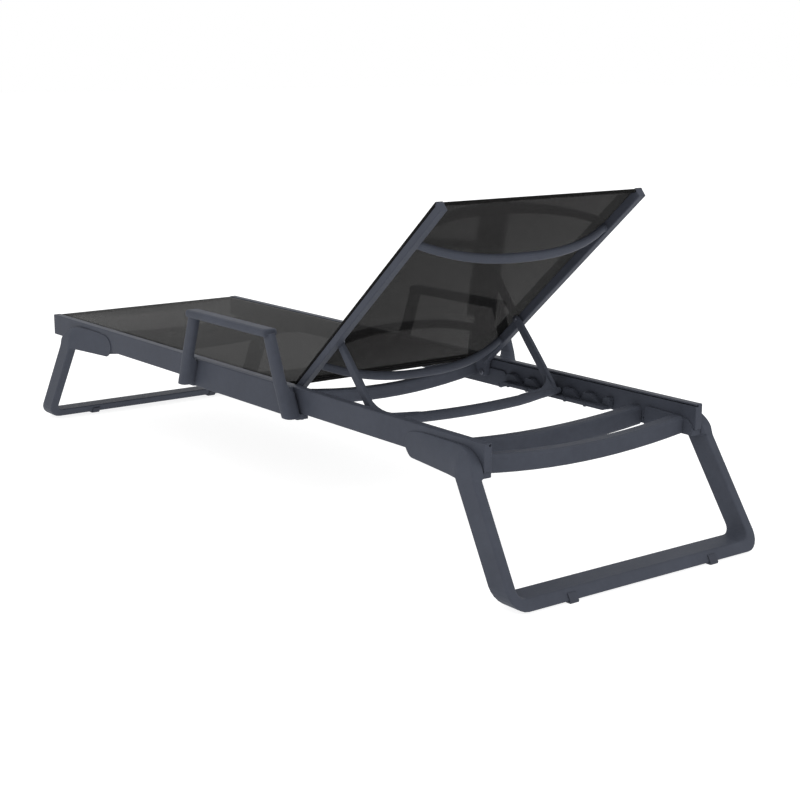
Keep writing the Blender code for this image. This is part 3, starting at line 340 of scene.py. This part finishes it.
def stitches(name, start, end, up, pitch, length, body, rows=((0.0, 0.0),), across=(0.0, 0.0, 0.0)):
    """Rows of lock stitches from start to end: short threads that rise from the cloth and dive back in."""
    start, end, up, across = Vector(start), Vector(end), Vector(up).normalized(), Vector(across)
    run = end - start
    way = run.normalized()
    side = way.cross(up)
    count = int(run.length / pitch)
    verts, faces = [], []
    stations = ((-0.50, 0.35, -0.00030), (-0.42, 0.80, -0.00008), (-0.22, 1.0, 0.00010), (0.0, 1.0, 0.00015), (0.22, 1.0, 0.00010), (0.42, 0.80, -0.00008), (0.50, 0.35, -0.00030))
    sides, r = 6, 0.00028
    for off, shift in rows:
        for i in range(count):
            mid = start + way * (pitch * (i + 0.5 + shift)) + across * off
            base = len(verts)
            for t, w, rise in stations:
                c = mid + way * (t * length) + up * rise
                for s in range(sides):
                    q = 2 * math.pi * s / sides
                    verts.append(tuple(c + side * (r * w * math.cos(q)) + up * (r * w * math.sin(q))))
            for j in range(len(stations) - 1):
                for s in range(sides):
                    a, b = base + j * sides + s, base + j * sides + (s + 1) % sides
                    faces.append((a, b, b + sides, a + sides))
            faces.append(tuple(base + s for s in reversed(range(sides))))
            faces.append(tuple(base + (len(stations) - 1) * sides + s for s in range(sides)))
    me = bpy.data.meshes.new(name)
    me.from_pydata(verts, [], faces)
    ob = bpy.data.objects.new(name, me)
    bpy.context.scene.collection.objects.link(ob)
    outward(ob)
    for poly in me.polygons:
        poly.use_smooth = True
    me.materials.append(thread_finish)
    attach(ob, body)
    return ob


# seat sling: one taut sheet, each side round its keder rod, each end round its flat bar
def seat_sag(x, y):
    k = max(0.0, 1.0 - (x / 0.2810) ** 2)
    e = min(1.0, (y - SEAT_Y0) / 0.14, (SEAT_Y1 - y) / 0.14)
    e = max(0.0, e)
    return 0.0018 * k * e * e * (3 - 2 * e)


def seat_place(a, b, c):
    return (a, c, b - seat_sag(a, c) * (1.0 if abs(a) < 0.2815 else 0.0))


def sleeve_seat(sign):
    """From the free end inside the slot, round the rod and out of the mouth, on the side of that sign."""
    pts = arc_points(SEAT_KEDER_X, SEAT_Z, 0.00252, 150, -150, 16)
    pts += [(0.28545, 0.29500), (0.28420, 0.29540), (0.28330, 0.29565), (0.28265, 0.29635), (0.28215, 0.29745), (0.28150, 0.29825)]
    return [(sign * x, z) for x, z in pts]


left_side, right_side = sleeve_seat(1), sleeve_seat(-1)
middle = [(x, SEAT_Z + SEAT_RISE) for x in np.linspace(0.2800, -0.2800, 41)]
across = left_side + middle + right_side[::-1]
seat = Cloth()
ends = (SEAT_Y0 + SEAT_BAR_IN, SEAT_Y1 - SEAT_BAR_IN)
seat_width = seat.sweep(across, list(np.linspace(ends[0], ends[1], 81)), seat_place)
for side in (left_side, right_side[::-1]):
    seat.sweep(side, [SEAT_Y0, ends[0]], seat_place)
    seat.sweep(side, [ends[1], SEAT_Y1], seat_place)
hem_xs = list(np.linspace(-0.28150, 0.28150, 33))
seat_hem = 0.0
for way, y_end, y_bar in ((1, SEAT_Y0, ends[0]), (-1, SEAT_Y1, ends[1])):
    r = (SEAT_Z + SEAT_RISE - 0.2920) / 2
    yc = y_end + way * r
    path = [(y_bar, SEAT_Z + SEAT_RISE), (y_bar - way * 0.0010, SEAT_Z + SEAT_RISE)]
    path += [(yc - way * r * math.sin(math.radians(t)), 0.2920 + r + r * math.cos(math.radians(t))) for t in range(0, 181, 15)]
    path += [(y_end + way * 0.0080, 0.2920), (y_end + way * 0.0140, 0.2920), (y_end + way * 0.0160, 0.2930), (y_end + way * 0.0175, 0.2948),
             (y_end + way * 0.0187, 0.2964), (y_end + way * 0.0200, 0.29745), (y_end + way * 0.0215, 0.29765), (y_end + way * 0.0250, 0.29765)]
    seat_hem = seat.sweep(path, hem_xs, lambda a, b, c: (c, a, b), v0=seat_width / 2, turned=True)
seat_cloth = seat.make("seat_sling_cloth", seat_finish, "base")
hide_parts("seat_sling")
for label, y in (("foot", SEAT_Y0 + 0.0205), ("head", SEAT_Y1 - 0.0237)):
    stitches("seat_hem_stitching_" + label, (-0.2800, y, SEAT_Z + SEAT_RISE + CLOTH / 2 - 0.00008), (0.2800, y, SEAT_Z + SEAT_RISE + CLOTH / 2 - 0.00008), (0, 0, 1), 0.0042, 0.0034, "base",
                                   rows=((0.0, 0.0), (0.0032, 0.3)), across=(0, 1, 0))


# back sling: over the front of both back rails, into the slots of their outer sides
def back(x, s, d):
    return (x, BACK_Y0 + COS * s + SIN * d, BACK_Z0 + SIN * s - COS * d)


def back_sag(x, s):
    k = max(0.0, 1.0 - (x / 0.2620) ** 2)
    e = max(0.0, min(1.0, (s - 0.004) / 0.10, (BACK_LEN - 0.006 - s) / 0.10))
    return 0.0016 * k * e * e * (3 - 2 * e)


FRONT_D = -0.0008


def back_place(a, b, c):
    return back(a, c, b + (back_sag(a, c) if abs(a) < 0.2620 and b < 0.0 else 0.0))


def sleeve_back(sign, cut=False):
    """Round the rod, out of the slot's mouth and over the rail's front corner; cut short past the slot's end."""
    pts = [] if cut else arc_points(BACK_KEDER_X, BACK_KEDER_D, 0.00202, 35, 335, 14) + [(0.28050, 0.00475), (0.28160, 0.00465), (0.28235, 0.00425)]
    pts += [(0.28268, 0.00350), (0.28272, 0.00250), (0.28272, 0.00130)]
    pts += arc_points(0.28152, 0.00040, 0.00120, 0, -90, 6)
    return [(sign * x, d) for x, d in pts]


middle = [(x, FRONT_D) for x in np.linspace(0.2780, -0.2780, 41)]
sling = Cloth()
s_low, s_slot, s_high = 0.0063, CAP_S - 0.0010, 0.6778
back_width = sling.sweep(sleeve_back(1) + middle + sleeve_back(-1)[::-1], list(np.linspace(s_low, s_slot, 49)), back_place)
sling.sweep(sleeve_back(1, True) + middle + sleeve_back(-1, True)[::-1], [s_slot, s_high], back_place)
for s0, s1, cut in ((0.0020, s_low, False), (s_high, BACK_LEN - 0.0006, True)):
    sling.sweep(sleeve_back(1, cut) + [(0.2640, FRONT_D)], [s0, s1], back_place)
    sling.sweep([(-0.2640, FRONT_D)] + sleeve_back(-1, cut)[::-1], [s0, s1], back_place)
back_hem = 0.0
hem_xs = list(np.linspace(-0.26245, 0.26245, 31))
for way, sc in ((-1, s_low), (1, s_high)):
    r = 0.0039
    path = [(sc + way * r * math.sin(math.radians(t)), 0.0031 - r * math.cos(math.radians(t))) for t in range(0, 181, 15)]
    path += [(sc - way * 0.0022, 0.0064), (sc - way * 0.0033, 0.0050), (sc - way * 0.0039, 0.0030), (sc - way * 0.0043, 0.0012), (sc - way * 0.0049, 0.00020),
             (sc - way * 0.0060, 0.00000), (sc - way * 0.0074, 0.00000)]
    back_hem = sling.sweep(path, hem_xs, lambda a, b, c: back(c, a, b), v0=back_width / 2, turned=True)
back_cloth = sling.make("back_sling_cloth", cloth_finish, "backrest")
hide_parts("back_sling")
front, rear = (0.0, -SIN, COS), (0.0, SIN, -COS)
for label, s in (("lower", s_low + 0.0062), ("upper", s_high - 0.0062)):
    stitches("back_hem_stitching_" + label, back(-0.2600, s, FRONT_D - CLOTH / 2), back(0.2600, s, FRONT_D - CLOTH / 2), front, 0.0042, 0.0034, "backrest")
    stitches("back_hem_seam_" + label, back(-0.2600, s, 0.00002 + CLOTH / 2), back(0.2600, s, 0.00002 + CLOTH / 2), rear, 0.0042, 0.0034, "backrest")

# ---------------------------------------------------------------- studio
scene = bpy.context.scene
scene.view_settings.view_transform = "Standard"
scene.view_settings.look = "None"

me = bpy.data.meshes.new("studio_floor")
h = 40.0
me.from_pydata([(-h, -h, -0.0004), (h, -h, -0.0004), (h, h, -0.0004), (-h, h, -0.0004)], [], [(0, 1, 2, 3)])
floor = bpy.data.objects.new("studio_floor", me)
scene.collection.objects.link(floor)
net = Net("studio_floor_paint")
net.shader.inputs["Base Color"].default_value = rgb(0.40, 0.40, 0.40)
net.shader.inputs["Roughness"].default_value = 0.9
net.shader.inputs["Specular IOR Level"].default_value = 0.0
net.shader.inputs["Emission Color"].default_value = rgb(1, 1, 1)
net.shader.inputs["Emission Strength"].default_value = 0.85
me.materials.append(net.material)

world = bpy.data.worlds.new("studio")
scene.world = world
world.use_nodes = True
background = world.node_tree.nodes["Background"]
background.inputs["Color"].default_value = rgb(1, 1, 1)
background.inputs["Strength"].default_value = 1.0


def softbox(name, place, aim, size, power):
    light = bpy.data.lights.new(name, "AREA")
    light.shape = "RECTANGLE"
    light.size, light.size_y = size
    light.energy = power
    ob = bpy.data.objects.new(name, light)
    scene.collection.objects.link(ob)
    ob.location = place
    ob.rotation_euler = (Vector(aim) - Vector(place)).to_track_quat("-Z", "Y").to_euler()
    return ob


softbox("softbox_top", (0.6, 1.2, 4.2), (0.0, 0.0, 0.3), (4.0, 3.0), 22.0)
softbox("softbox_head", (-1.0, 4.8, 2.2), (0.0, 0.2, 0.3), (3.0, 2.0), 14.0)

# ---------------------------------------------------------------- camera at the photograph's place
camera = bpy.data.objects.new("camera", bpy.data.cameras.new("camera"))
scene.collection.objects.link(camera)
camera.data.sensor_width = 36.0
camera.data.lens = 70.31
camera.data.clip_end = 200.0
yaw, pitch = math.radians(-126.808), math.radians(12.382)
look = Vector((math.cos(pitch) * math.cos(yaw), math.cos(pitch) * math.sin(yaw), -math.sin(pitch)))
camera.location = (2.168, 3.1347, 1.0228)
camera.rotation_euler = look.to_track_quat("-Z", "Y").to_euler()
scene.camera = camera
